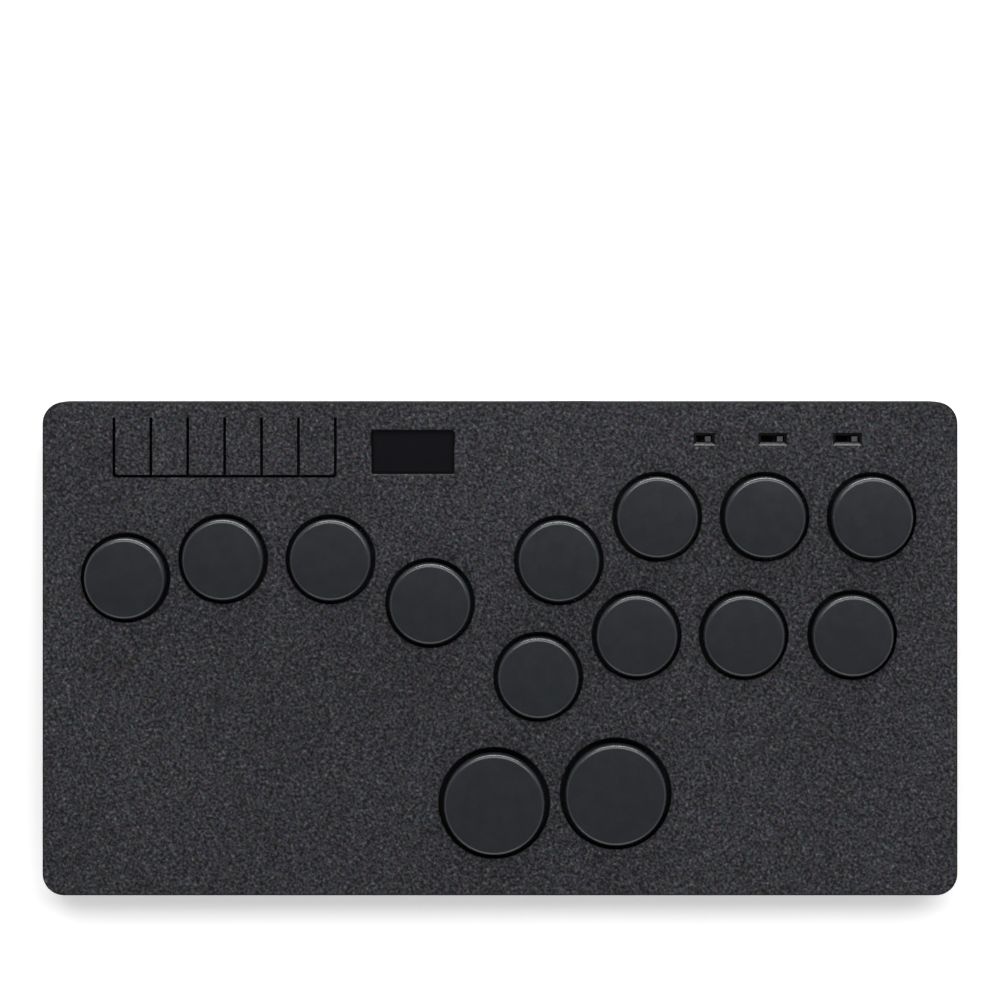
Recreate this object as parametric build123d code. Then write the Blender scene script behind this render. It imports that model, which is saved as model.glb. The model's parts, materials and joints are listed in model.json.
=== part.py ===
from build123d import *
import os

# Slim leverless arcade controller: a flat printed case with fourteen round push buttons on
# low-profile key switches, six flexing menu keys, a small display and three slide switches.
# Millimetres. X runs to the player's right, Y to the rear edge, Z up. The origin is on the table,
# under the middle of the case.

# ---- case ----
case_length = 254.0            # X
case_depth = 137.0             # Y
case_corner_radius = 6.0
case_wall = 2.4
floor_thickness = 2.0          # bottom cover
plate_thickness = 2.4          # top cover
cover_edge_chamfer = 0.5
floor_edge_chamfer = 0.8
seam_chamfer = 0.25            # on each cover, where they meet outside
lip_thickness = 1.6            # ring on the bottom cover that locates the top cover
lip_clearance = 0.2
lip_to_board_gap = 0.4

# ---- feet and screws ----
foot_diameter = 10.0
foot_stand = 1.2               # how far a foot stands below the case
foot_recess = 0.4
foot_seat_gap = 0.1            # around a foot in its recess
foot_edge_inset = (24.0, 14.0)  # from the case's edges, along X and Y
screw_diameter = 3.0
screw_head_diameter = 5.5
screw_head_height = 1.9
screw_head_sink = 0.2          # the head lies this far inside the bottom cover
screw_engagement = 2.6         # thread inside the insert
screw_hole_clearance = 0.2
screw_socket_across_flats = 2.0
screw_socket_depth = 1.1
screw_edge_inset = 9.0
insert_diameter = 4.6
insert_length = 3.5
insert_bore_clearance = 0.05
insert_groove = 0.3
boss_wall = 1.4
tower_wall = 1.3
pillar_radius = 2.5

# ---- circuit board ----
board_thickness = 1.6
board_edge_gap = 1.0           # from the case's inner wall
under_board_space = 2.0        # room for the switch pins

# ---- key switches ----
switch_travel = 3.0
switch_body_width = 13.8       # base, below its flange
switch_flange_width = 15.0
switch_corner_radius = 1.0
switch_flange_rise = 2.2       # board to the flange
switch_flange_thickness = 0.8
switch_wall = 0.8
switch_floor = 0.6
switch_roof = 0.6
switch_lid_chamfer = 0.8
stem_length = 10.0
stem_width = 4.4
stem_waist_diameter = 5.4      # round swelling at the middle of the stem
stem_flange_length = 11.6
stem_flange_width = 6.4
stem_flange_thickness = 0.55
stem_stop_gap = 0.025          # at each end of the travel
stem_guide_gap = 0.15
stem_bottomed_rise = 0.2       # stem above the lid when fully pressed
stem_slot_length = 3.0         # Y
stem_slot_width = 1.2          # X
stem_slot_spacing = 5.7
stem_slot_depth = 3.2
stem_pole_diameter = 1.3
stem_pole_length = 2.4
centre_post_diameter = 3.4     # goes through the board
centre_post_length = 2.65
centre_post_bore = 2.6
centre_post_end = 0.5
side_post_diameter = 1.9
side_post_length = 1.9
side_post_offset = 5.5
spring_diameter = 2.2
spring_wire = 0.25
spring_turns = 6
contact_thickness = 0.2
contact_pin_width = 0.9
contact_pin_length = 3.0
contact_leaf = (0.0, -5.9, 7.0, 1.9)     # x, y, width, height of the moving leaf
contact_plate = (5.0, -3.8, 2.2, 1.5)    # x, y, width, height of the fixed contact
contact_slot_clearance = 0.1
pin_hole_clearance = 0.15

# ---- button caps ----
small_cap_diameter = 22.5
large_cap_diameter = 28.0
small_cap_gap = 1.2            # ring between a cap and its hole
large_cap_gap = 1.5
cap_roof = 1.8
cap_dome = 0.25                # crown of the top face
cap_edge_radius = 1.2
cap_skirt_wall = 1.0
cap_skirt_overlap = 1.2        # the skirt reaches this far below the panel's face
cap_pressed_stand = 0.2        # a pressed cap stands this far above the panel
cap_leg_clearance = 0.03       # legs in the stem's slots
cap_leg_length = 3.0
hole_chamfer = 0.2

# Centres of the buttons, from the middle of the case.
direction_centres = [(-103.9, 19.7), (-76.8, 24.9), (-47.0, 24.8), (-19.4, 12.7)]
action_centres = [
    (16.3, 24.5), (43.6, 36.6), (73.4, 36.6), (103.1, 36.5),
    (10.6, -7.8), (37.9, 3.8), (67.6, 3.8), (97.7, 3.8),
]
thumb_centres = [(-1.6, -42.8), (32.1, -40.2)]

# ---- menu keys: tongues cut in the top cover, each on a thin living hinge ----
menu_key_count = 6
menu_key_pitch = 10.24
menu_key_length = 15.9
menu_key_slit = 0.8
menu_key_centre_x = -76.4
menu_key_root_inset = 4.3      # from the rear edge to the hinge line
menu_hinge_thickness = 0.8
menu_hinge_length = 2.0
menu_corner_radius = 1.0
menu_post_diameter = 2.5
menu_post_from_end = 3.0
tact_width = 5.2
tact_height = 1.5
tact_plunger_diameter = 2.0
tact_plunger_rise = 0.4
tact_plunger_travel = 0.25
tact_flange_diameter = 3.2
tact_flange_thickness = 0.3
tact_floor = 0.3
tact_clearance = 0.1
tact_touch_gap = 0.05          # post to plunger at rest

# ---- display ----
window_length = 23.0
window_width = 12.3
window_corner_radius = 0.6
window_chamfer = 0.3
window_centre_x = -24.2
window_rear_inset = 13.9       # from the rear edge to the window's middle
glass_length = 26.7
glass_width = 19.3
glass_thickness = 1.45
glass_offset = 2.1             # the glass's middle lies this far in front of the window's
glass_gap = 0.05
holder_wall = 2.0
ribbon_width = 12.0
ribbon_thickness = 0.2
ribbon_reach = 1.6

# ---- slide switches ----
slider_centres_x = [56.7, 75.7, 96.4]
slider_travels = [2.0, 4.0, 4.0]
slider_rear_inset = 10.3
nub_length = 1.6
nub_width = 1.5
nub_below_face = 0.2
slot_end_play = 0.4
slot_side_gap = 0.2
slot_bevel = 0.8
slider_block_length = 3.0
slider_block_width = 2.4
slider_block_height = 1.2
slider_body_width = 3.8
slider_body_end = 1.65         # closed end beyond the moving block
slider_body_wall = 0.5
slider_headroom = 0.6          # body to the top cover
slider_clearance = 0.1

# ---- cable socket and chips ----
usb_x = 20.0
usb_length = 7.35              # Y
usb_width = 8.94               # X
usb_height = 3.26
usb_wall = 0.3
usb_mouth_inset = 2.6          # from the rear face to the mouth
usb_tongue_width = 6.7
usb_tongue_thickness = 0.7
usb_tongue_length = 5.0
usb_cutout_width = 12.5
usb_cutout_height = 6.6
usb_cutout_radius = 2.0
# Chips on the board: middle x, middle distance from the rear edge, length, width, height.
chips = [(20.0, 20.5, 7.0, 7.0, 0.9), (8.5, 19.5, 5.2, 5.3, 1.6), (31.5, 19.0, 3.2, 2.5, 0.8),
         (30.5, 12.5, 6.5, 3.5, 1.6)]

# ---- levels ----
z_case_bottom = foot_stand
z_seam = z_case_bottom + floor_thickness
z_board_bottom = z_seam + under_board_space
z_board_top = z_board_bottom + board_thickness
z_switch_floor_top = z_board_top + switch_floor
z_flange_bottom = z_board_top + switch_flange_rise
z_flange_top = z_flange_bottom + switch_flange_thickness
z_roof_bottom = z_switch_floor_top + switch_travel + stem_flange_thickness + 2 * stem_stop_gap
z_lid_top = z_roof_bottom + switch_roof
z_stem_top = z_lid_top + stem_bottomed_rise + switch_travel
z_cap_top = z_stem_top + cap_roof
z_face = z_cap_top - switch_travel - cap_pressed_stand
z_plate_bottom = z_face - plate_thickness
z_lip_top = z_board_bottom - lip_to_board_gap
z_head_seat = z_case_bottom + screw_head_sink + screw_head_height
z_stem_flange_bottom = z_roof_bottom - stem_stop_gap - stem_flange_thickness
z_post_bottom = z_board_top - centre_post_length

# ---- places that follow from the case ----
rear = case_depth / 2
inner_length = case_length - 2 * case_wall
inner_depth = case_depth - 2 * case_wall
inner_corner_radius = case_corner_radius - case_wall
screw_x = case_length / 2 - screw_edge_inset
screw_y = case_depth / 2 - screw_edge_inset
screw_places = [
    (-screw_x, screw_y), (screw_x, screw_y), (-screw_x, -screw_y), (screw_x, -screw_y),
    (-screw_x, 0), (screw_x, 0), (-60, -screw_y), (60, -screw_y), (40, screw_y),
]
foot_x = case_length / 2 - foot_edge_inset[0]
foot_y = case_depth / 2 - foot_edge_inset[1]
foot_places = [(x, y) for x in (-foot_x, 0, foot_x) for y in (-foot_y, foot_y)]
pillar_places = [(-90, -25), (-50, -10), (-10, -17), (52, 20), (85, 20), (85, -25), (-60, 40)]
hinge_line_y = rear - menu_key_root_inset
menu_end_y = hinge_line_y - menu_key_length
menu_post_y = menu_end_y + menu_post_from_end
menu_centres_x = [
    menu_key_centre_x + (i - (menu_key_count - 1) / 2) * menu_key_pitch for i in range(menu_key_count)
]
window_centre_y = rear - window_rear_inset
glass_centre_y = window_centre_y - glass_offset
slider_y = rear - slider_rear_inset
usb_mouth_y = rear - usb_mouth_inset
usb_centre_z = z_board_top + usb_height / 2
button_sets = {"direction": direction_centres, "action": action_centres, "thumb": thumb_centres}
cap_diameters = {"direction": small_cap_diameter, "action": small_cap_diameter, "thumb": large_cap_diameter}
cap_gaps = {"direction": small_cap_gap, "action": small_cap_gap, "thumb": large_cap_gap}
buttons = [
    (f"{family}_{number}", centre, cap_diameters[family] / 2, cap_diameters[family] / 2 + cap_gaps[family])
    for family, centres in button_sets.items()
    for number, centre in enumerate(centres, 1)
]
LOW = (Align.CENTER, Align.CENTER, Align.MIN)


# ---- small helpers ----
def block(x_length, y_length, z_low, z_high, at=(0, 0)):
    """A box centred on at, between two levels."""
    return Pos(at[0], at[1], z_low) * Box(x_length, y_length, z_high - z_low, align=LOW)


def disc(radius, z_low, z_high, at=(0, 0)):
    """An upright cylinder between two levels."""
    return Pos(at[0], at[1], z_low) * Cylinder(radius, z_high - z_low, align=LOW)


def slab(x_length, y_length, corner_radius, z_low, z_high, at=(0, 0)):
    """A plate with rounded corners between two levels."""
    outline = Pos(at[0], at[1], z_low) * RectangleRounded(x_length, y_length, corner_radius)
    return extrude(outline, z_high - z_low)


def flared(outline, flare):
    """A cutter that widens from an outline, lying flare below the face, to the face."""
    return extrude(outline, flare, taper=-45)


def top_edges(shape):
    """The edges around the highest face."""
    return shape.faces().sort_by(Axis.Z)[-1].edges()


def bottom_edges(shape):
    """The edges around the lowest face."""
    return shape.faces().sort_by(Axis.Z)[0].edges()


def placed(shape, places):
    """Copies of one shape as a group of separate solids."""
    return Compound(children=[Pos(x, y, 0) * shape for x, y in places])


# ---- case ----
def button_hole(centre, radius):
    """The cutter for one button: a round hole with a chamfered rim."""
    rim = Pos(centre[0], centre[1], z_face - hole_chamfer) * Circle(radius)
    return disc(radius, z_plate_bottom, z_face, centre) + flared(rim, hole_chamfer)


def menu_pocket():
    """The one opening that all the menu keys lie in, with its front corners rounded."""
    length = menu_key_count * menu_key_pitch + menu_key_slit
    depth = menu_key_length + menu_key_slit
    middle = (menu_key_centre_x, hinge_line_y - depth / 2)
    pocket = block(length, depth, z_plate_bottom, z_face, middle)
    front = pocket.edges().filter_by(Axis.Z).group_by(Axis.Y)[0]
    return fillet(front, menu_corner_radius)


def window_cutter():
    """The display's window and its bevelled rim."""
    at = (window_centre_x, window_centre_y)
    hole = slab(window_length, window_width, window_corner_radius, z_plate_bottom, z_face, at)
    rim = Pos(at[0], at[1], z_face - window_chamfer) * RectangleRounded(
        window_length, window_width, window_corner_radius)
    return hole + flared(rim, window_chamfer)


def slider_slot(x, travel):
    """The slot for one slide switch's nub, bevelled all round."""
    length = travel + nub_length + 2 * slot_end_play
    width = nub_width + 2 * slot_side_gap
    hole = block(length, width, z_plate_bottom, z_face, (x, slider_y))
    rim = Pos(x, slider_y, z_face - slot_bevel) * Rectangle(length, width)
    return hole + flared(rim, slot_bevel)


def cable_cutout():
    """The opening in the rear wall that a cable plug's grip goes into."""
    outline = Plane.XZ * Pos(usb_x, usb_centre_z) * RectangleRounded(
        usb_cutout_width, usb_cutout_height, usb_cutout_radius)
    return Pos(0, rear + case_wall, 0) * extrude(outline, 2 * case_wall + lip_thickness)


def make_top_cover():
    """Panel, side walls and screw bosses in one shell, open underneath."""
    cover = slab(case_length, case_depth, case_corner_radius, z_seam, z_face)
    cover = chamfer(top_edges(cover), cover_edge_chamfer)
    cover = chamfer(bottom_edges(cover), seam_chamfer)
    cover -= slab(inner_length, inner_depth, inner_corner_radius, z_seam, z_plate_bottom)
    insert_pocket = insert_length + 0.2
    for place in screw_places:
        cover += disc(insert_diameter / 2 + boss_wall, z_board_top, z_plate_bottom, place)
    for place in screw_places:
        cover -= disc(insert_diameter / 2, z_board_top, z_board_top + insert_pocket, place)
    for _, centre, _, hole_radius in buttons:
        cover -= button_hole(centre, hole_radius)
    cover -= menu_pocket()
    cover -= window_cutter()
    for x, travel in zip(slider_centres_x, slider_travels):
        cover -= slider_slot(x, travel)
    return cover - cable_cutout()


def make_bottom_cover():
    """Floor with a locating lip, screw towers, board pillars and seats for the feet."""
    cover = slab(case_length, case_depth, case_corner_radius, z_case_bottom, z_seam)
    cover = chamfer(bottom_edges(cover), floor_edge_chamfer)
    cover = chamfer(top_edges(cover), seam_chamfer)
    lip_length = inner_length - 2 * lip_clearance
    lip_depth = inner_depth - 2 * lip_clearance
    lip_radius = inner_corner_radius - lip_clearance
    inside_radius = max(lip_radius - lip_thickness, 0.4)
    lip = slab(lip_length, lip_depth, lip_radius, z_seam, z_lip_top)
    lip -= slab(lip_length - 2 * lip_thickness, lip_depth - 2 * lip_thickness, inside_radius,
                z_seam, z_lip_top)
    cover += lip
    head_hole = screw_head_diameter / 2 + screw_hole_clearance
    shank_hole = screw_diameter / 2 + screw_hole_clearance
    for place in screw_places:
        cover += disc(head_hole + tower_wall, z_seam, z_board_bottom, place)
    for place in pillar_places:
        cover += disc(pillar_radius, z_seam, z_board_bottom, place)
    for place in screw_places:
        cover -= disc(head_hole, z_case_bottom, z_head_seat, place)
        cover -= disc(shank_hole, z_head_seat, z_board_bottom, place)
    for place in foot_places:
        cover -= disc(foot_diameter / 2 + foot_seat_gap, z_case_bottom, z_case_bottom + foot_recess, place)
    return cover


def make_rubber_feet():
    """Round pads, seated in the bottom cover, with a softened lower edge."""
    foot = disc(foot_diameter / 2, 0, z_case_bottom + foot_recess)
    foot = fillet(bottom_edges(foot), foot_stand / 3)
    return placed(foot, foot_places)


def make_cover_screws():
    """Pan-head machine screws with a hexagon socket, put in from below."""
    head = disc(screw_head_diameter / 2, z_head_seat - screw_head_height, z_head_seat)
    head = fillet(bottom_edges(head), screw_head_height / 3)
    socket = Pos(0, 0, z_head_seat - screw_head_height) * RegularPolygon(
        screw_socket_across_flats / 2, 6, major_radius=False)
    screw = head - extrude(socket, screw_socket_depth)
    screw += disc(screw_diameter / 2, z_head_seat, z_board_top + screw_engagement)
    return placed(chamfer(top_edges(screw), screw_diameter / 8), screw_places)


def make_threaded_inserts():
    """Brass bushes pressed into the top cover's bosses, with a groove round the middle."""
    radius = insert_diameter / 2
    middle = z_board_top + insert_length / 2
    bush = disc(radius, z_board_top, z_board_top + insert_length)
    ring = disc(radius, middle - insert_groove, middle + insert_groove)
    bush -= ring - disc(radius - insert_groove, middle - insert_groove, middle + insert_groove)
    bore = screw_diameter / 2 + insert_bore_clearance
    return placed(bush - disc(bore, z_board_top, z_board_top + insert_length), screw_places)


# ---- circuit board and what is soldered to it ----
def make_circuit_board():
    """One board across the whole case, drilled for the switches and the screws."""
    board = slab(inner_length - 2 * board_edge_gap, inner_depth - 2 * board_edge_gap,
                 inner_corner_radius, z_board_bottom, z_board_top)
    centre_hole = centre_post_diameter / 2 + pin_hole_clearance
    side_hole = side_post_diameter / 2 + pin_hole_clearance
    pin_hole = contact_pin_width / 2 + pin_hole_clearance
    drills = [disc(screw_diameter / 2 + screw_hole_clearance, z_board_bottom, z_board_top, place)
              for place in screw_places]
    for _, (x, y), _, _ in buttons:
        drills.append(disc(centre_hole, z_board_bottom, z_board_top, (x, y)))
        for side in (-side_post_offset, side_post_offset):
            drills.append(disc(side_hole, z_board_bottom, z_board_top, (x + side, y)))
        for pin_x, pin_y, _, _ in (contact_leaf, contact_plate):
            drills.append(disc(pin_hole, z_board_bottom, z_board_top, (x + pin_x, y + pin_y)))
    return board - drills


def make_board_chips():
    """Processor, memory, oscillator and regulator: flat packages on the board's top face."""
    packages = []
    for x, from_rear, length, width, height in chips:
        package = block(length, width, z_board_top, z_board_top + height, (x, rear - from_rear))
        packages.append(chamfer(top_edges(package), 0.15))
    return Compound(children=packages)


def make_usb_socket():
    """Oval metal shell with a contact tongue, its mouth in the rear wall's opening."""
    corner = usb_height / 2 - 0.05
    face = Plane.XZ * Pos(usb_x, usb_centre_z) * RectangleRounded(usb_width, usb_height, corner)
    mouth = Plane.XZ * Pos(usb_x, usb_centre_z) * RectangleRounded(
        usb_width - 2 * usb_wall, usb_height - 2 * usb_wall, corner - usb_wall)
    shell = Pos(0, usb_mouth_y, 0) * extrude(face, usb_length)
    shell -= Pos(0, usb_mouth_y, 0) * extrude(mouth, usb_length - 4 * usb_wall)
    back_y = usb_mouth_y - usb_length + 4 * usb_wall
    tongue_middle = (usb_x, back_y + usb_tongue_length / 2)
    half = usb_tongue_thickness / 2
    return shell + block(usb_tongue_width, usb_tongue_length, usb_centre_z - half, usb_centre_z + half,
                         tongue_middle)


# ---- key switches ----
def make_switch_base():
    """Lower housing: a tray with a flange, a hollow centre post and two side posts."""
    base = slab(switch_body_width, switch_body_width, switch_corner_radius, z_board_top, z_flange_bottom)
    base += slab(switch_flange_width, switch_flange_width, switch_corner_radius,
                 z_flange_bottom, z_flange_top)
    inside = switch_body_width - 2 * switch_wall
    base -= block(inside, inside, z_switch_floor_top, z_flange_top)
    base += disc(centre_post_diameter / 2, z_post_bottom, z_board_top)
    base -= disc(centre_post_bore / 2, z_post_bottom + centre_post_end, z_switch_floor_top)
    for side in (-side_post_offset, side_post_offset):
        base += disc(side_post_diameter / 2, z_board_top - side_post_length, z_board_top, (side, 0))
    for x, y, _, _ in (contact_leaf, contact_plate):
        base -= block(contact_pin_width + 2 * contact_slot_clearance,
                      contact_thickness + 2 * contact_slot_clearance,
                      z_board_top, z_switch_floor_top, (x, y))
    return base


def stem_outline(grow):
    """The stem's plan: a bar with a round swelling at its middle, grown by a clearance."""
    bar = Rectangle(stem_length + 2 * grow, stem_width + 2 * grow)
    return bar + Circle(stem_waist_diameter / 2 + grow)


def make_switch_lid():
    """Upper housing: a bevelled cover that guides the stem."""
    lid = slab(switch_flange_width, switch_flange_width, switch_corner_radius, z_flange_top, z_lid_top)
    lid = chamfer(top_edges(lid), switch_lid_chamfer)
    inside = switch_body_width - 2 * switch_wall
    lid -= block(inside, inside, z_flange_top, z_roof_bottom)
    opening = Pos(0, 0, z_roof_bottom) * stem_outline(stem_guide_gap)
    return lid - extrude(opening, switch_roof)


def make_switch_contacts():
    """The leaf and the fixed contact, each with its pin through the board."""
    pieces = []
    for x, y, width, height in (contact_leaf, contact_plate):
        z_low = z_switch_floor_top + contact_slot_clearance
        plate = block(width, contact_thickness, z_low, z_low + height, (x, y))
        pin = block(contact_pin_width, contact_thickness, z_board_top - contact_pin_length, z_low, (x, y))
        pieces.append(plate + pin)
    return pieces


def make_switch_spring():
    """The return spring, from the bottom of the centre post to the stem's flange."""
    wire = spring_wire / 2
    z_low = z_post_bottom + centre_post_end + wire
    height = z_stem_flange_bottom - wire - z_low
    path = Pos(0, 0, z_low) * Helix(pitch=height / spring_turns, height=height,
                                    radius=spring_diameter / 2 - wire)
    section = Plane(origin=path @ 0, z_dir=path % 0) * Circle(wire)
    return sweep(section, path, is_frenet=True)


def make_stem():
    """The sliding stem: slotted head, a flange under the lid and a pole inside the spring."""
    stem = extrude(Pos(0, 0, z_stem_flange_bottom) * stem_outline(0), z_stem_top - z_stem_flange_bottom)
    stem = chamfer(top_edges(stem), 0.2)
    stem += block(stem_flange_length, stem_flange_width, z_stem_flange_bottom,
                  z_stem_flange_bottom + stem_flange_thickness)
    stem += disc(stem_pole_diameter / 2, z_stem_flange_bottom - stem_pole_length, z_stem_flange_bottom)
    for side in (-0.5, 0.5):
        stem -= block(stem_slot_width, stem_slot_length, z_stem_top - stem_slot_depth, z_stem_top,
                      (side * stem_slot_spacing, 0))
    return stem


def make_cap(radius):
    """A domed round cap with a skirt, and two legs that plug into the stem."""
    z_skirt = z_face - cap_skirt_overlap
    z_shoulder = z_cap_top - cap_dome
    rim = radius - cap_edge_radius
    crown = ThreePointArc((0, z_cap_top), (rim / 2, z_cap_top - cap_dome / 4), (rim, z_shoulder))
    edge = RadiusArc((rim, z_shoulder), (radius, z_shoulder - cap_edge_radius), cap_edge_radius)
    rest = Polyline((radius, z_shoulder - cap_edge_radius), (radius, z_skirt),
                    (radius - cap_skirt_wall, z_skirt), (radius - cap_skirt_wall, z_stem_top),
                    (0, z_stem_top), (0, z_cap_top))
    cap = revolve(Plane.XZ * make_face([crown, edge, rest]), Axis.Z)
    cap = fillet(bottom_edges(cap), cap_skirt_wall / 4)
    for side in (-0.5, 0.5):
        cap += block(stem_slot_width - 2 * cap_leg_clearance, stem_slot_length - 2 * cap_leg_clearance,
                     z_stem_top - cap_leg_length, z_stem_top, (side * stem_slot_spacing, 0))
    return cap


# ---- menu keys and the tact switches under them ----
def make_menu_key(number):
    """One tongue of the panel: thin at its hinge, with a post over its tact switch."""
    x = menu_centres_x[number]
    width = menu_key_pitch - menu_key_slit
    tongue = block(width, menu_key_length, z_plate_bottom, z_face, (x, menu_end_y + menu_key_length / 2))
    corners = tongue.edges().filter_by(Axis.Z).group_by(Axis.Y)[0].sort_by(Axis.X)
    outer = {0: corners[:1], menu_key_count - 1: corners[-1:]}
    if number in outer:
        tongue = fillet(outer[number], menu_corner_radius - menu_key_slit / 4)
    tongue -= block(width, menu_hinge_length, z_plate_bottom, z_face - menu_hinge_thickness,
                    (x, hinge_line_y - menu_hinge_length / 2))
    z_touch = z_board_top + tact_height + tact_plunger_rise + tact_touch_gap
    return tongue + disc(menu_post_diameter / 2, z_touch, z_plate_bottom, (x, menu_post_y))


def make_tact_plunger():
    """The small round button of a tact switch, with a flange inside the body."""
    z_tip = z_board_top + tact_height + tact_plunger_rise
    z_foot = z_board_top + tact_floor + tact_plunger_travel + tact_clearance
    plunger = disc(tact_plunger_diameter / 2, z_foot, z_tip)
    plunger = chamfer(top_edges(plunger), 0.15)
    return plunger + disc(tact_flange_diameter / 2, z_foot, z_foot + tact_flange_thickness)


def make_tact_body():
    """A tact switch's body: a square can with a round opening for its plunger."""
    z_top = z_board_top + tact_height
    z_foot = z_board_top + tact_floor
    body = block(tact_width, tact_width, z_board_top, z_top)
    body = chamfer(body.edges().filter_by(Axis.Z), 0.4)
    cavity_top = z_foot + tact_plunger_travel + tact_clearance + tact_flange_thickness + tact_clearance
    body -= disc(tact_flange_diameter / 2 + tact_clearance, z_foot, cavity_top)
    return body - disc(tact_plunger_diameter / 2 + tact_clearance, z_foot, z_top)


# ---- slide switches ----
def slider_levels():
    """The moving block's lower and upper level."""
    z_low = z_board_top + slider_body_wall + slider_clearance
    return z_low, z_low + slider_block_height


def make_slider_body(x, travel):
    """A slide switch's can, with a slot in its roof for the nub."""
    z_top = z_plate_bottom - slider_headroom
    z_low, z_high = slider_levels()
    room = slider_block_length + travel + 2 * slider_clearance
    body = block(room + 2 * slider_body_end, slider_body_width, z_board_top, z_top, (x, slider_y))
    body = chamfer(body.edges().filter_by(Axis.Z), 0.3)
    body -= block(room, slider_block_width + 2 * slider_clearance, z_low - slider_clearance,
                  z_high + slider_clearance, (x, slider_y))
    return body - block(travel + nub_length + 2 * slider_clearance, nub_width + 2 * slider_clearance,
                        z_low, z_top, (x, slider_y))


def make_slider(x, travel):
    """The moving block and the nub that shows in the panel's slot, at the right-hand stop."""
    z_low, z_high = slider_levels()
    at = (x + travel / 2, slider_y)
    nub = block(nub_length, nub_width, z_high, z_face - nub_below_face, at)
    nub = chamfer(top_edges(nub), 0.15)
    return nub + block(slider_block_length, slider_block_width, z_low, z_high, at)


# ---- display ----
def make_display_glass():
    """The display panel, close under the window."""
    z_top = z_plate_bottom - glass_gap
    at = (window_centre_x, glass_centre_y)
    glass = block(glass_length, glass_width, z_top - glass_thickness, z_top, at)
    return chamfer(top_edges(glass), 0.15)


def make_display_holder():
    """An open frame that stands on the board and carries the glass."""
    z_top = z_plate_bottom - glass_gap - glass_thickness
    at = (window_centre_x, glass_centre_y)
    frame = block(glass_length, glass_width, z_board_top, z_top, at)
    return frame - block(glass_length - 2 * holder_wall, glass_width - 2 * holder_wall,
                         z_board_top, z_top, at)


def make_display_ribbon():
    """The flexible lead, folded over the front of the holder from the glass to the board."""
    z_top = z_plate_bottom - glass_gap - glass_thickness / 2
    front = glass_centre_y - glass_width / 2
    width, thick = ribbon_width, ribbon_thickness
    drop = block(width, thick, z_board_top, z_top, (window_centre_x, front - thick / 2))
    foot = block(width, ribbon_reach, z_board_top, z_board_top + thick,
                 (window_centre_x, front - ribbon_reach / 2))
    return drop + foot


# ---- write the parts ----
def make_parts():
    """Every node of the controller, by name."""
    switch_places = [centre for _, centre, _, _ in buttons]
    tact_places = [(x, menu_post_y) for x in menu_centres_x]
    parts = {
        "top_cover": make_top_cover(),
        "bottom_cover": make_bottom_cover(),
        "rubber_feet": make_rubber_feet(),
        "cover_screws": make_cover_screws(),
        "threaded_inserts": make_threaded_inserts(),
        "circuit_board": make_circuit_board(),
        "board_chips": make_board_chips(),
        "usb_socket": make_usb_socket(),
        "display_glass": make_display_glass(),
        "display_holder": make_display_holder(),
        "display_ribbon": make_display_ribbon(),
        "switch_bases": placed(make_switch_base(), switch_places),
        "switch_lids": placed(make_switch_lid(), switch_places),
        "switch_springs": placed(make_switch_spring(), switch_places),
        "switch_contacts": Compound(children=[
            Pos(x, y, 0) * piece for x, y in switch_places for piece in make_switch_contacts()]),
        "tact_switch_bodies": placed(make_tact_body(), tact_places),
        "slide_switch_bodies": Compound(children=[
            make_slider_body(x, travel) for x, travel in zip(slider_centres_x, slider_travels)]),
    }
    stem = make_stem()
    for name, (x, y), cap_radius, _ in buttons:
        parts[f"cap_{name}"] = Pos(x, y, 0) * make_cap(cap_radius)
        parts[f"stem_{name}"] = Pos(x, y, 0) * stem
    for number, (x, y) in enumerate(tact_places):
        parts[f"menu_key_{number + 1}"] = make_menu_key(number)
        parts[f"tact_plunger_{number + 1}"] = Pos(x, y, 0) * make_tact_plunger()
    for number, (x, travel) in enumerate(zip(slider_centres_x, slider_travels), 1):
        parts[f"slider_{number}"] = make_slider(x, travel)
    return parts


os.makedirs("parts", exist_ok=True)
for name, shape in make_parts().items():
    export_step(shape, f"parts/{name}.step")
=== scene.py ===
import json
import math

import bmesh
import bpy
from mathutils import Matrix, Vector


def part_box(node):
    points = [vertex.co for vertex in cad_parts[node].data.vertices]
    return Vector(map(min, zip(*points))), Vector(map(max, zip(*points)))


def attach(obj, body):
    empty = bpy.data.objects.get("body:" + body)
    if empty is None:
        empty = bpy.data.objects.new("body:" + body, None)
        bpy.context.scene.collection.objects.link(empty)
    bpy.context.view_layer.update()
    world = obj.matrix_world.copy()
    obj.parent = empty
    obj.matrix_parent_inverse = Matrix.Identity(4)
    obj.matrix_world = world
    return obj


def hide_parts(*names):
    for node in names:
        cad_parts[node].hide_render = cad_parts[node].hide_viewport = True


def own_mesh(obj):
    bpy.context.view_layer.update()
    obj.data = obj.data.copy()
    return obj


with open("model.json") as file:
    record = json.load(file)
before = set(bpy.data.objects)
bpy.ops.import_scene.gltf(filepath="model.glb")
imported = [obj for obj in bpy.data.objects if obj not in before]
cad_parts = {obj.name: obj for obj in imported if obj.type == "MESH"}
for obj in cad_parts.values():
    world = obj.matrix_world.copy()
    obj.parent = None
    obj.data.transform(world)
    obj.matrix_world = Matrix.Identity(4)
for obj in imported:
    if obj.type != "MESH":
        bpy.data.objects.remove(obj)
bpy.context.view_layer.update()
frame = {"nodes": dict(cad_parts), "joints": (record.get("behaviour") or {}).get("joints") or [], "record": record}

# Slim leverless arcade controller. Metres, in the row frame: X to the player's right, Y to the
# rear edge, Z up, the table at zero.

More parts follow.
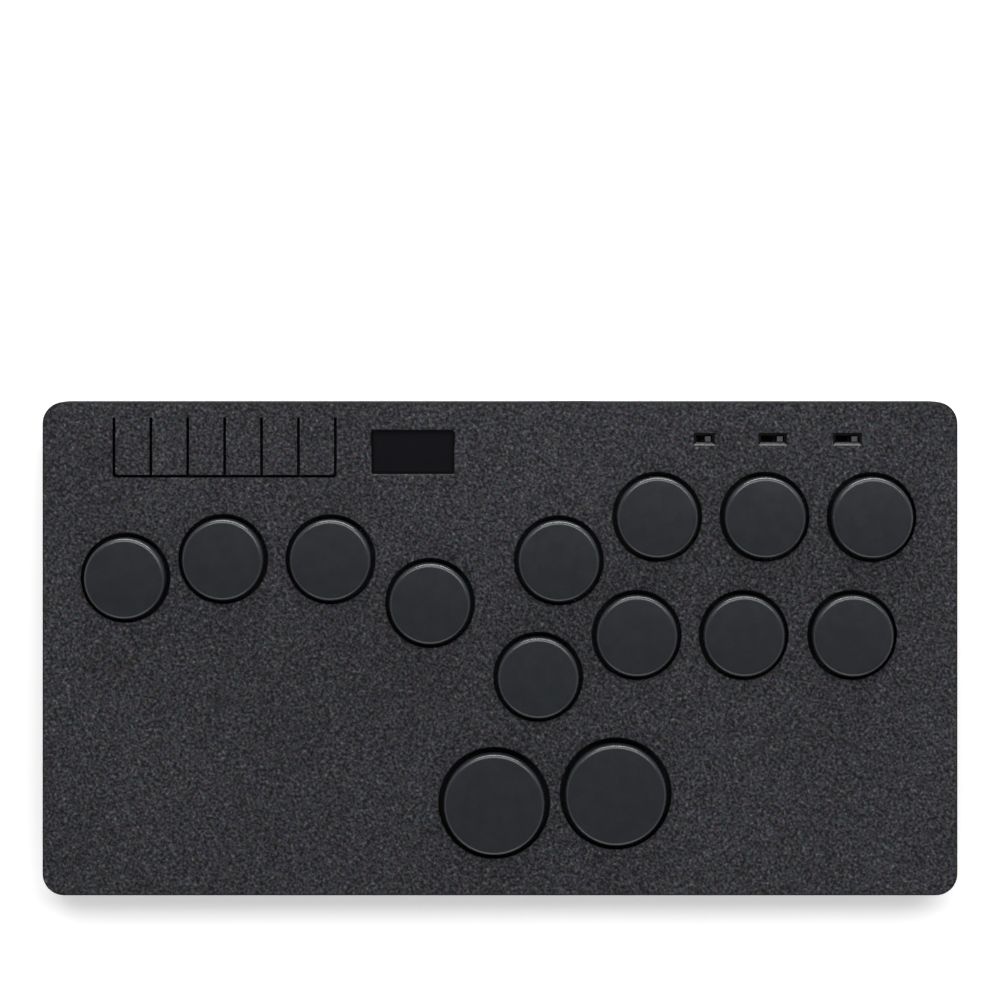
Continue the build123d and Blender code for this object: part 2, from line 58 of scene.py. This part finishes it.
MM = 0.001
LAYER = 0.2 * MM               # one printed layer
OUTER_SKIN = 3.0 * MM          # the case's outer walls lie within this of its outline; walls further in, and slopes within it, get painted shade
GRAIN_TURN = (0.6, 0.4, 0.7)   # turns the grain off the case's axes, where it would line up
GRAIN_RELIEF = 0.13 * MM
LAYER_RELIEF = 0.035 * MM
SLOT_REACH = 2.0 * MM          # half the width of a slide switch's bevelled slot, and a little more; its bevels get painted shade, its front bevel a painted highlight
WEAVE = 9000.0                 # radians to the metre, about 0.7 mm to a thread pair
SPRING_REACH = 3.0 * MM        # all of a spring lies this near its stem's middle
NODES = frame["nodes"]
CASE_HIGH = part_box("top_cover")[1]


def srgb(r, g, b):
    """A colour given as 8-bit screen values, as the linear values that shaders take."""
    def linear(v):
        v /= 255
        return v / 12.92 if v <= 0.04045 else ((v + 0.055) / 1.055) ** 2.4
    return (linear(r), linear(g), linear(b), 1.0)


# ---------------------------------------------------------------- shader building
class Shader:
    """A material under construction, with short names for its nodes."""

    def __init__(self, name, **values):
        self.material = bpy.data.materials.new(name)
        self.material.use_nodes = True
        self.tree = self.material.node_tree
        self.tree.nodes.clear()
        self.out = self.tree.nodes.new("ShaderNodeOutputMaterial")
        self.bsdf = self.tree.nodes.new("ShaderNodeBsdfPrincipled")
        self.tree.links.new(self.bsdf.outputs[0], self.out.inputs[0])
        for key, value in values.items():
            self.bsdf.inputs[key.replace("_", " ")].default_value = value
        self.coords = self.tree.nodes.new("ShaderNodeTexCoord")
        self.place = self.coords.outputs["Object"]

    def link(self, source, target):
        """Joins an output to an input, or sets the input to a plain value."""
        if isinstance(source, bpy.types.NodeSocket):
            self.tree.links.new(source, target)
        else:
            target.default_value = source

    def node(self, kind, inputs=(), **settings):
        """A node with its settings and its inputs, by position or by name."""
        made = self.tree.nodes.new("ShaderNode" + kind)
        for key, value in settings.items():
            setattr(made, key, value)
        pairs = inputs.items() if isinstance(inputs, dict) else enumerate(inputs)
        for key, value in pairs:
            if value is not None:
                self.link(value, made.inputs[key])
        return made

    def math(self, operation, *values):
        """One step of arithmetic on numbers."""
        return self.node("Math", values, operation=operation).outputs[0]

    def noise(self, scale, detail=2.0, roughness=0.5, place=None):
        """Noise from 0 to 1, with about scale features to the metre."""
        inputs = {"Vector": place or self.place, "Scale": scale, "Detail": detail, "Roughness": roughness}
        return self.node("TexNoise", inputs).outputs[0]

    def cells(self, scale, smoothness):
        """Rounded cells of about 1/scale metres across."""
        inputs = {"Vector": self.place, "Scale": scale, "Smoothness": smoothness}
        return self.node("TexVoronoi", inputs, feature="SMOOTH_F1").outputs["Distance"]

    def ramp(self, factor, stops):
        """A colour ramp from (position, colour) stops."""
        made = self.node("ValToRGB", [factor])
        elements = made.color_ramp.elements
        while len(elements) > 1:
            elements.remove(elements[-1])
        elements[0].position, elements[0].color = stops[0]
        for position, colour in stops[1:]:
            elements.new(position).color = colour
        return made.outputs[0]

    def span(self, value, low, high, to_low=0.0, to_high=1.0, smooth=False):
        """A value moved from one range to another, and kept inside it."""
        kind = "SMOOTHSTEP" if smooth else "LINEAR"
        return self.node("MapRange", [value, low, high, to_low, to_high],
                         interpolation_type=kind, clamp=True).outputs[0]

    def mix(self, factor, a, b, blend_type="MIX"):
        """A colour between a and b, or b laid over a in another way."""
        made = self.node("Mix", data_type="RGBA", blend_type=blend_type)
        self.link(factor, made.inputs[0])
        self.link(a, made.inputs[6])
        self.link(b, made.inputs[7])
        return made.outputs[2]

    def blend(self, factor, a, b):
        """A number between a and b."""
        made = self.node("Mix", data_type="FLOAT")
        self.link(factor, made.inputs[0])
        self.link(a, made.inputs[2])
        self.link(b, made.inputs[3])
        return made.outputs[0]

    def distance(self, value, middle):
        """How far a value is from a middle one."""
        return self.math("ABSOLUTE", self.math("SUBTRACT", value, middle))

    def xyz(self, vector=None):
        """The three parts of a vector."""
        return self.node("SeparateXYZ", [vector or self.place]).outputs

    def stretched(self, x, y, z):
        """The place, scaled along each axis."""
        made = self.node("Mapping", {"Vector": self.place})
        made.inputs["Scale"].default_value = (x, y, z)
        return made.outputs[0]

    def paint(self, colour, roughness, height=None, depth=0.0):
        """Connects the finished colour, roughness and bump. depth is the bump's height in metres."""
        self.link(colour, self.bsdf.inputs["Base Color"])
        self.link(roughness, self.bsdf.inputs["Roughness"])
        if height is not None:
            bump = self.node("Bump", {"Strength": 1.0, "Distance": depth, "Height": height})
            self.link(bump.outputs[0], self.bsdf.inputs["Normal"])
        return self.material


# ---------------------------------------------------------------- materials
def plate_grain(s):
    """The grain of a textured print plate: its height from 0 to 1, and its colour."""
    turned = s.node("Mapping", {"Vector": s.place, "Rotation": GRAIN_TURN}).outputs[0]
    speckle = s.noise(1250, detail=1.0, roughness=0.6, place=turned)
    shade = s.ramp(speckle, [
        (0.30, srgb(19, 19, 21)), (0.42, srgb(37, 37, 40)), (0.50, srgb(47, 47, 51)),
        (0.58, srgb(56, 56, 60)), (0.66, srgb(66, 66, 70)), (0.72, srgb(81, 81, 86)),
        (0.80, srgb(100, 100, 105))])
    tint = s.node("TexNoise", {"Vector": turned, "Scale": 700.0, "Detail": 0.0}).outputs[1]
    tinted = s.mix(0.22, shade, tint, blend_type="SOFT_LIGHT")
    cloud = s.span(s.noise(22, detail=2.0), 0.3, 0.7, 0.92, 1.08)
    return speckle, s.node("VectorMath", {"Vector": tinted, "Scale": cloud}, operation="SCALE").outputs[0]


def printed_layers(s):
    """The printed layers of a wall: their height from 0 to 1, and the streaks along them."""
    height = s.xyz()[2]
    wobble = s.math("MULTIPLY", s.noise(120, place=s.stretched(1, 1, 30)), 0.25)
    phase = s.math("ADD", s.math("DIVIDE", height, LAYER), wobble)
    layer = s.math("SINE", s.math("MULTIPLY", phase, 2 * math.pi))
    return s.span(layer, -1.0, 1.0), s.noise(60, detail=3.0, place=s.stretched(1, 1, 90))


def printed_plastic():
    """Charcoal 3-D print: granular where it lay on a textured plate, layered on its walls, with painted shade on
    its inner walls, outer chamfers and slot bevels, and a painted highlight on each slot's front bevel.
    """
    s = Shader("printed_case", Specular_IOR_Level=0.16)
    speckle, grain = plate_grain(s)
    layer, streak = printed_layers(s)

    # where a point is: on a plate or a slope of it, in the outer skin, beside a slot
    x, y, _ = s.xyz()
    _, rearward, upward = s.xyz(s.coords.outputs["Normal"])
    up = s.math("ABSOLUTE", upward)
    on_plate = s.span(up, 0.3, 0.6, smooth=True)
    slope = s.math("MULTIPLY", s.math("LESS_THAN", up, 0.85), on_plate)
    outside = s.math("MAXIMUM",
                     s.math("GREATER_THAN", s.math("ABSOLUTE", x), CASE_HIGH.x - OUTER_SKIN),
                     s.math("GREATER_THAN", s.math("ABSOLUTE", y), CASE_HIGH.y - OUTER_SKIN))
    nub_low, nub_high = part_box("slider_1")
    by_slot = s.math("LESS_THAN", s.distance(y, (nub_low.y + nub_high.y) / 2), SLOT_REACH)
    bevel = s.math("MULTIPLY", slope, by_slot)
    front_bevel_highlight = s.math("MULTIPLY", bevel, s.math("GREATER_THAN", rearward, 0.3))

    banding = s.math("ADD", s.math("MULTIPLY", layer, 0.25), s.math("MULTIPLY", streak, 0.75))
    wall = s.ramp(banding, [(0.25, srgb(24, 24, 26)), (0.75, srgb(44, 44, 47))])
    # Painted shade: walls further in than OUTER_SKIN from the outline, the insides of holes and slots, are painted
    # near-black.
    colour = s.mix(on_plate, s.mix(outside, srgb(9, 9, 10), wall), grain)
    # Painted shade: the slopes in the outer skin, the case's edge chamfers, are painted dark.
    colour = s.mix(s.math("MULTIPLY", slope, outside), colour, srgb(14, 14, 15))
    # Painted shade: the bevels beside the slide switch slots are painted dark.
    colour = s.mix(bevel, colour, srgb(13, 13, 14))
    # Painted highlight: each slot's front bevel, which faces the rear, is painted light.
    colour = s.mix(front_bevel_highlight, colour, srgb(84, 84, 87))
    rough = s.blend(on_plate, s.span(streak, 0.3, 0.7, 0.42, 0.55), s.span(speckle, 0.45, 0.75, 0.8, 0.6))
    rough = s.blend(front_bevel_highlight, rough, 0.3)
    relief = s.blend(on_plate, s.math("MULTIPLY", layer, LAYER_RELIEF),
                     s.math("MULTIPLY", speckle, GRAIN_RELIEF))
    return s.paint(colour, rough, relief, depth=1.0)


def cap_plastic():
    """Moulded black plastic with a fine spark-eroded texture."""
    s = Shader("button_cap", IOR=1.56)
    fine = s.noise(9000, detail=1.0)
    mottle = s.noise(260, detail=3.0, roughness=0.6)
    colour = s.ramp(mottle, [(0.3, srgb(33, 36, 40)), (0.7, srgb(36, 39, 43))])
    rough = s.span(mottle, 0.3, 0.7, 0.25, 0.29)
    return s.paint(colour, rough, fine, depth=0.004 * MM)


def plain_moulded(name, low, high, rough_low, rough_high, scale=700, depth=0.004, **values):
    """A moulded plastic that varies a little in colour and gloss."""
    s = Shader(name, **values)
    vary = s.noise(scale, detail=3.0)
    colour = s.ramp(vary, [(0.3, low), (0.7, high)])
    return s.paint(colour, s.span(vary, 0.3, 0.7, rough_low, rough_high), s.noise(6000), depth=depth * MM)


def smoky_plastic(name, low, high):
    """Clear smoky polycarbonate, with flow marks."""
    s = Shader(name, Roughness=0.12, IOR=1.58)
    s.bsdf.inputs["Transmission Weight"].default_value = 0.75
    flow = s.noise(420, detail=2.0, place=s.stretched(1, 3, 1))
    colour = s.ramp(flow, [(0.3, low), (0.7, high)])
    return s.paint(colour, s.span(flow, 0.3, 0.7, 0.08, 0.2), flow, depth=0.02 * MM)


def metal(name, low, high, rough_low, rough_high, stretch=(1, 1, 1), scale=2500, depth=0.003):
    """Metal with fine marks, drawn out along one axis if the stretch says so."""
    s = Shader(name, Metallic=1.0)
    marks = s.noise(scale, detail=3.0, place=s.stretched(*stretch))
    tarnish = s.noise(180, detail=3.0)
    colour = s.ramp(tarnish, [(0.3, low), (0.7, high)])
    return s.paint(colour, s.span(marks, 0.3, 0.7, rough_low, rough_high), marks, depth=depth * MM)


def board_laminate():
    """Black solder mask over copper tracks and pours, with the fibre weave just showing."""
    s = Shader("board_laminate", Roughness=0.35)
    x, y, _ = s.xyz()
    turn = s.span(s.noise(28, detail=0.0), 0.499, 0.501)
    along = s.blend(turn, s.math("ADD", x, y), s.math("SUBTRACT", x, y))
    track = s.math("PINGPONG", along, 0.9 * MM)
    track = s.span(track, 0.38 * MM, 0.48 * MM, smooth=True)
    pour = s.span(s.noise(45, detail=1.0), 0.5, 0.52)
    copper = s.math("MULTIPLY", track, pour)
    weave = s.math("MULTIPLY", s.math("SINE", s.math("MULTIPLY", x, WEAVE)),
                   s.math("SINE", s.math("MULTIPLY", y, WEAVE)))
    colour = s.mix(copper, srgb(12, 15, 18), srgb(20, 28, 31))
    height = s.math("ADD", s.math("MULTIPLY", copper, 0.035 * MM), s.math("MULTIPLY", weave, 0.002 * MM))
    return s.paint(colour, s.span(s.noise(300), 0.3, 0.7, 0.28, 0.4), height, depth=1.0)


def display_panel():
    """Dark glass: a slightly lighter active area inside a black border."""
    s = Shader("display_panel", IOR=1.45)
    low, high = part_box("display_glass")
    half_width, half_depth, from_rear = 10.9 * MM, 5.45 * MM, 7.6 * MM
    x, y, _ = s.xyz()
    across = s.math("LESS_THAN", s.distance(x, (low.x + high.x) / 2), half_width)
    along = s.math("LESS_THAN", s.distance(y, high.y - from_rear), half_depth)
    inside = s.math("MULTIPLY", across, along)
    haze = s.noise(900, detail=2.0)
    active = s.ramp(haze, [(0.3, srgb(15, 14, 19)), (0.7, srgb(18, 17, 22))])
    border = s.ramp(haze, [(0.3, srgb(3, 3, 5)), (0.7, srgb(5, 5, 7))])
    dust = s.span(s.noise(5000, detail=2.0), 0.4, 0.75, 0.05, 0.16)
    return s.paint(s.mix(inside, border, active), dust, haze, depth=0.0008 * MM)


def socket_metal():
    """Plated steel shell, with the dark tongue and its gilt contacts inside."""
    s = Shader("socket_shell")
    low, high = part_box("usb_socket")
    centre = (low + high) / 2
    tongue_half_width, tongue_half_height, contact_pitch = 3.38 * MM, 0.37 * MM, 0.5 * MM
    x, _, z = s.xyz()
    across = s.math("LESS_THAN", s.distance(x, centre.x), tongue_half_width)
    upright = s.math("LESS_THAN", s.distance(z, centre.z), tongue_half_height)
    tongue = s.math("MULTIPLY", across, upright)
    strip = s.math("GREATER_THAN", s.math("SINE", s.math("MULTIPLY", x, 2 * math.pi / contact_pitch)), 0.2)
    gilt = s.math("MULTIPLY", tongue, strip)
    marks = s.noise(2600, detail=3.0, place=s.stretched(1, 0.1, 1))
    plate = s.ramp(marks, [(0.3, srgb(150, 151, 154)), (0.7, srgb(196, 197, 199))])
    colour = s.mix(gilt, s.mix(tongue, plate, srgb(18, 18, 19)), srgb(214, 170, 84))
    metallic = s.math("MAXIMUM", s.math("SUBTRACT", 1.0, tongue), gilt)
    s.link(metallic, s.bsdf.inputs["Metallic"])
    return s.paint(colour, s.span(marks, 0.3, 0.7, 0.2, 0.36), marks, depth=0.003 * MM)


def foot_rubber():
    """Black rubber with a fine moulded stipple."""
    s = Shader("foot_rubber", Roughness=0.85)
    stipple = s.cells(1900, smoothness=0.4)
    wear = s.noise(240, detail=3.0)
    colour = s.ramp(wear, [(0.3, srgb(24, 24, 25)), (0.7, srgb(38, 38, 39))])
    return s.paint(colour, s.span(wear, 0.3, 0.7, 0.72, 0.9), stipple, depth=0.05 * MM)


def ribbon_film():
    """Amber polyimide film over copper lines."""
    s = Shader("ribbon_film", Roughness=0.28)
    x = s.xyz()[0]
    line = s.math("GREATER_THAN", s.math("SINE", s.math("MULTIPLY", x, 2 * math.pi / (0.6 * MM))), 0.1)
    film = s.ramp(s.noise(300, detail=2.0), [(0.3, srgb(150, 84, 22)), (0.7, srgb(176, 104, 32))])
    return s.paint(s.mix(line, film, srgb(196, 132, 58)), 0.28, line, depth=0.02 * MM)


def make_materials():
    """One finished material for each of the record's slots."""
    steel = (srgb(168, 169, 172), srgb(200, 201, 203))
    return {
        "printed_case": printed_plastic(),
        "button_cap": cap_plastic(),
        "switch_stem": plain_moulded("switch_stem", srgb(132, 70, 176), srgb(150, 84, 196), 0.34, 0.42),
        "switch_lid": smoky_plastic("switch_lid", srgb(196, 198, 202), srgb(214, 216, 219)),
        "switch_base": smoky_plastic("switch_base", srgb(110, 112, 117), srgb(134, 136, 140)),
        "switch_contact": metal("switch_contact", srgb(214, 168, 84), srgb(232, 190, 104), 0.18, 0.3),
        "spring_steel": metal("spring_steel", *steel, 0.18, 0.3),
        "screw_steel": metal("screw_steel", srgb(40, 40, 42), srgb(58, 58, 60), 0.36, 0.5),
        "insert_brass": metal("insert_brass", srgb(196, 150, 72), srgb(222, 178, 96), 0.24, 0.4),
        "board_laminate": board_laminate(),
        "chip_package": plain_moulded("chip_package", srgb(26, 26, 28), srgb(36, 36, 38), 0.5, 0.62),
        "socket_shell": socket_metal(),
        "display_panel": display_panel(),
        "holder_plastic": plain_moulded("holder_plastic", srgb(28, 28, 30), srgb(38, 38, 40), 0.5, 0.6),
        "ribbon_film": ribbon_film(),
        "tact_can": metal("tact_can", *steel, 0.26, 0.4, stretch=(0.1, 1, 1)),
        "tact_button": plain_moulded("tact_button", srgb(26, 26, 27), srgb(34, 34, 36), 0.42, 0.5),
        "slide_can": metal("slide_can", srgb(30, 30, 32), srgb(46, 46, 48), 0.4, 0.55),
        "slide_nub": plain_moulded("slide_nub", srgb(58, 58, 60), srgb(70, 70, 72), 0.42, 0.52),
        "foot_rubber": foot_rubber(),
    }


def paint_cad(materials):
    """Gives every CAD node the finished material of its slot."""
    slots = {sub["node"]: sub["material_slot"] for sub in frame["record"]["subparts"]}
    for name, node in NODES.items():
        node.data.materials.clear()
        node.data.materials.append(materials[slots[name]])


# ---------------------------------------------------------------- springs
def make_springs():
    """A spring under each stem, taken from the CAD group."""
    group = NODES["switch_springs"]
    for joint in frame["joints"]:
        if not joint["name"].startswith("button_"):
            continue
        button = joint["child"].removeprefix("button_")
        stem_low, stem_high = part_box("stem_" + button)
        x = (stem_low.x + stem_high.x) / 2
        y = (stem_low.y + stem_high.y) / 2
        mesh = group.data.copy()
        mesh.name = "spring_" + button
        cut = bmesh.new()
        cut.from_mesh(mesh)
        others = [v for v in cut.verts if math.hypot(v.co.x - x, v.co.y - y) > SPRING_REACH]
        bmesh.ops.delete(cut, geom=others, context="VERTS")
        cut.to_mesh(mesh)
        cut.free()
        spring = bpy.data.objects.new("spring_" + button, mesh)
        bpy.context.scene.collection.objects.link(spring)
        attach(spring, "case")
        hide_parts("switch_springs")
        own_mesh(spring)


# ---------------------------------------------------------------- the studio
def make_floor():
    """A plain pale floor, lit faintly from below like a light table, which softens the shadows."""
    half = 3.0
    mesh = bpy.data.meshes.new("floor")
    corners = [(-half, -half, 0), (half, -half, 0), (half, half, 0), (-half, half, 0)]
    mesh.from_pydata(corners, [], [(0, 1, 2, 3)])
    floor = bpy.data.objects.new("floor", mesh)
    bpy.context.scene.collection.objects.link(floor)
    s = Shader("studio_floor", Roughness=0.9)
    s.bsdf.inputs["Specular IOR Level"].default_value = 0.1
    s.bsdf.inputs["Emission Color"].default_value = (1.0, 1.0, 1.0, 1)
    s.bsdf.inputs["Emission Strength"].default_value = 0.36
    tone = s.ramp(s.noise(3, detail=2.0), [(0.3, (0.9, 0.9, 0.9, 1)), (0.7, (0.93, 0.93, 0.93, 1))])
    mesh.materials.append(s.paint(tone, 0.9))


def make_world():
    """Even pale surroundings, dimmer straight overhead."""
    world = bpy.data.worlds.new("studio")
    bpy.context.scene.world = world
    world.use_nodes = True
    tree = world.node_tree
    tree.nodes.clear()
    coords = tree.nodes.new("ShaderNodeTexCoord")
    split = tree.nodes.new("ShaderNodeSeparateXYZ")
    ramp = tree.nodes.new("ShaderNodeValToRGB")
    background = tree.nodes.new("ShaderNodeBackground")
    out = tree.nodes.new("ShaderNodeOutputWorld")
    tree.links.new(coords.outputs["Generated"], split.inputs[0])
    tree.links.new(split.outputs[2], ramp.inputs[0])
    tree.links.new(ramp.outputs[0], background.inputs[0])
    tree.links.new(background.outputs[0], out.inputs[0])
    elements = ramp.color_ramp.elements
    elements[0].position, elements[0].color = 0.0, (1.0, 1.0, 1.0, 1)
    elements[1].position, elements[1].color = 0.75, (0.12, 0.12, 0.125, 1)
    background.inputs[1].default_value = 1.0


def make_light(name, place, width, height, power):
    """A soft rectangular light, aimed at the middle of the case."""
    target = Vector((0, 0, 0.01))
    data = bpy.data.lights.new(name, "AREA")
    data.shape = "RECTANGLE"
    data.size = width
    data.size_y = height
    data.energy = power
    light = bpy.data.objects.new(name, data)
    light.location = place
    light.rotation_mode = "QUATERNION"
    light.rotation_quaternion = (target - Vector(place)).to_track_quat("-Z", "Y")
    bpy.context.scene.collection.objects.link(light)


def make_camera():
    """Straight down, over a point behind the middle, with the case low in the picture."""
    height = 0.67              # above the case's face
    width_seen = 0.27744       # across the picture, at the case's face
    middle_y = 0.0413          # the picture's middle
    camera_y = 0.087
    data = bpy.data.cameras.new("camera")
    data.sensor_width = 36.0
    data.lens = height * data.sensor_width / width_seen
    data.shift_y = (middle_y - camera_y) / width_seen
    data.clip_start = 0.01
    data.clip_end = 20.0
    camera = bpy.data.objects.new("camera", data)
    camera.location = (0.0, camera_y, CASE_HIGH.z + height)
    bpy.context.scene.collection.objects.link(camera)
    bpy.context.scene.camera = camera


make_camera()
make_floor()
make_world()
make_light("rear_softbox", (0.1, 0.58, 0.93), width=1.5, height=0.5, power=10.8)
make_light("rear_strip", (0.1, 1.3, 0.13), width=1.5, height=0.22, power=21.0)
make_light("front_softbox", (-0.1, -1.1, 0.45), width=1.4, height=0.5, power=3.0)
bpy.context.scene.view_settings.view_transform = "Standard"

paint_cad(make_materials())
make_springs()
